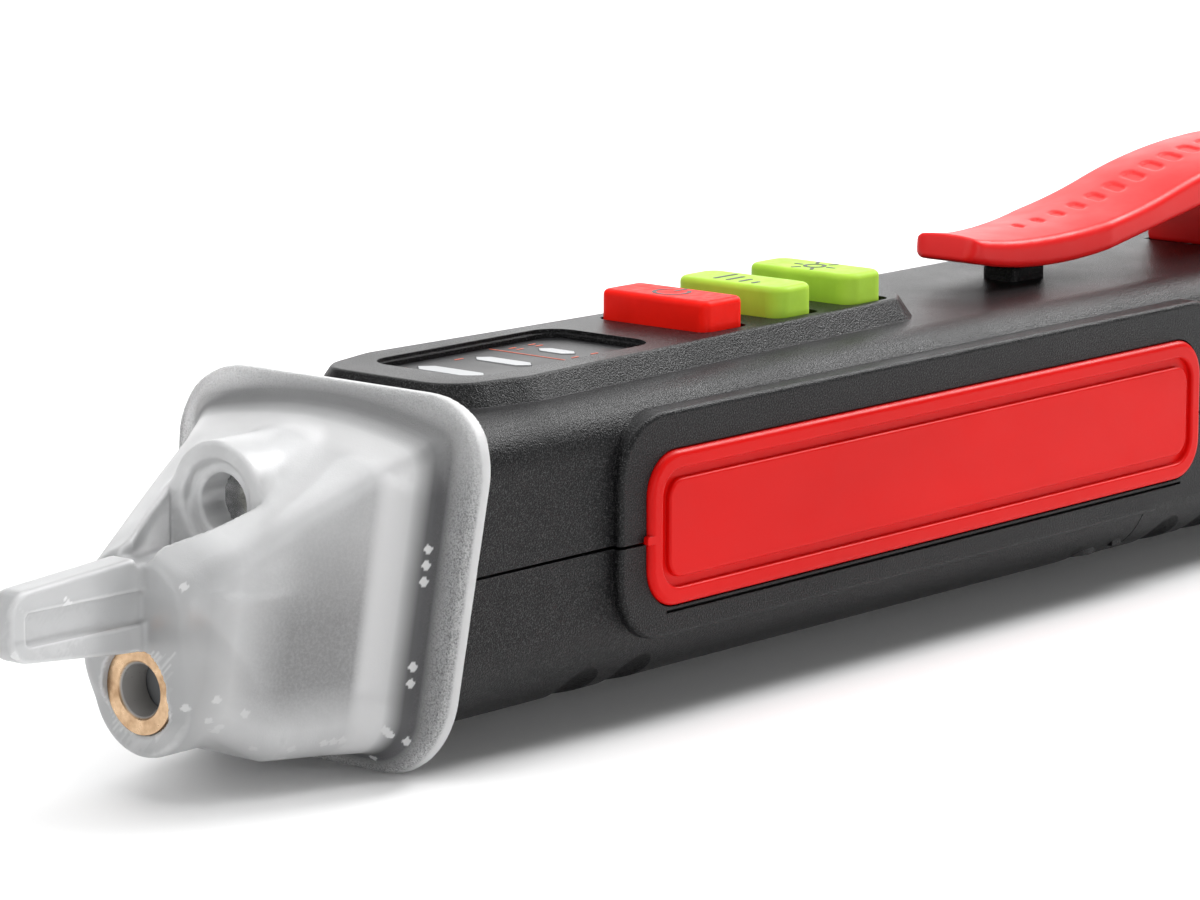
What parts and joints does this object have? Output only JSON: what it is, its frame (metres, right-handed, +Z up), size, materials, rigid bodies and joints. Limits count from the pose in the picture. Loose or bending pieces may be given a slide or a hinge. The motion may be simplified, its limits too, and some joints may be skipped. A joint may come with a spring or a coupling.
{
  "type": "non contact voltage tester",
  "caption": "Pen-shaped voltage tester with a translucent sensing blade, laser pointer, torch, push buttons, indicator windows and a sprung pocket clip.",
  "frame": {"origin": "middle of the pen's footprint, at the height of its lowest point, the lower edge of the nose's collar", "axes": "+X along the pen towards the clip end, -X towards the sensing blade; +Y across the pen; +Z up through the buttons"},
  "size_m": [0.1604, 0.0284, 0.032],
  "materials": {
    "black_plastic": "fine spark texture",
    "cell_jacket": "plain printed steel jacket",
    "contact_steel": "plated spring steel",
    "component_black": "moulded",
    "screw_steel": "zinc plated",
    "board_green": "solder resist",
    "red_plastic": "satin moulded",
    "red_insert": "satin moulded",
    "lamp_white": "clear and milky",
    "panel_black": "smooth",
    "guide_white": "milky",
    "brass": "turned",
    "wire_red": "insulated wire",
    "lens_glass": "polished",
    "button_green": "soft touch, slightly translucent",
    "button_red": "soft touch, slightly translucent",
    "plunger_white": "moulded",
    "wire_copper": "bare copper",
    "frosted_nose": "frosted translucent",
    "reflector_chrome": "bright"
  },
  "bodies": {
    "root": {"battery_left": "cell_jacket", "battery_right": "cell_jacket", "bridge_contact": "contact_steel", "buzzer": "component_black", "case_screws": "screw_steel", "chip_components": "component_black", "circuit_board": "board_green", "clip_base": "red_plastic", "controller_chip": "component_black", "indicator_leds": "lamp_white", "indicator_panel": "panel_black", "large_light_guide": "guide_white", "laser_barrel": "brass", "laser_diode": "contact_steel", "laser_leads": "wire_red", "laser_lens": "lens_glass", "left_insert": "red_insert", "light_switch": "component_black", "lower_shell": "black_plastic", "medium_light_guide": "guide_white", "negative_contact": "contact_steel", "positive_contact": "contact_steel", "power_switch": "component_black", "right_insert": "red_insert", "sensitivity_switch": "component_black", "sensor_antenna": "wire_copper", "sensor_nose": "frosted_nose", "small_light_guide": "guide_white", "torch_leads": "contact_steel", "torch_led": "lamp_white", "torch_reflector": "reflector_chrome", "upper_shell": "black_plastic"},
    "power_button": {"power_button": "button_red", "power_plunger": "plunger_white"},
    "sensitivity_button": {"sensitivity_button": "button_green", "sensitivity_plunger": "plunger_white"},
    "light_button": {"light_button": "button_green", "light_plunger": "plunger_white"},
    "clip": {"clip_arm": "red_plastic"},
    "battery_door": {"battery_door": "black_plastic"}
  },
  "joints": [
    {"name": "power_press", "type": "slide", "parent": "root", "child": "power_button", "axis": [0, 0, -1], "range_m": [0, 0.0005], "stiffness_N_per_m": 3200},
    {"name": "sensitivity_press", "type": "slide", "parent": "root", "child": "sensitivity_button", "axis": [0, 0, -1], "range_m": [0, 0.0005], "stiffness_N_per_m": 3200},
    {"name": "light_press", "type": "slide", "parent": "root", "child": "light_button", "axis": [0, 0, -1], "range_m": [0, 0.0005], "stiffness_N_per_m": 3200},
    {"name": "clip_flex", "type": "hinge", "parent": "root", "child": "clip", "pos_m": [0.05315, 0, 0.03143], "axis": [0, 1, 0], "range_deg": [0, 6], "stiffness_Nm_per_rad": 0.69},
    {"name": "battery_door_slide", "type": "slide", "parent": "root", "child": "battery_door", "axis": [1, 0, 0], "range_m": [0, 0.006]}
  ]
}
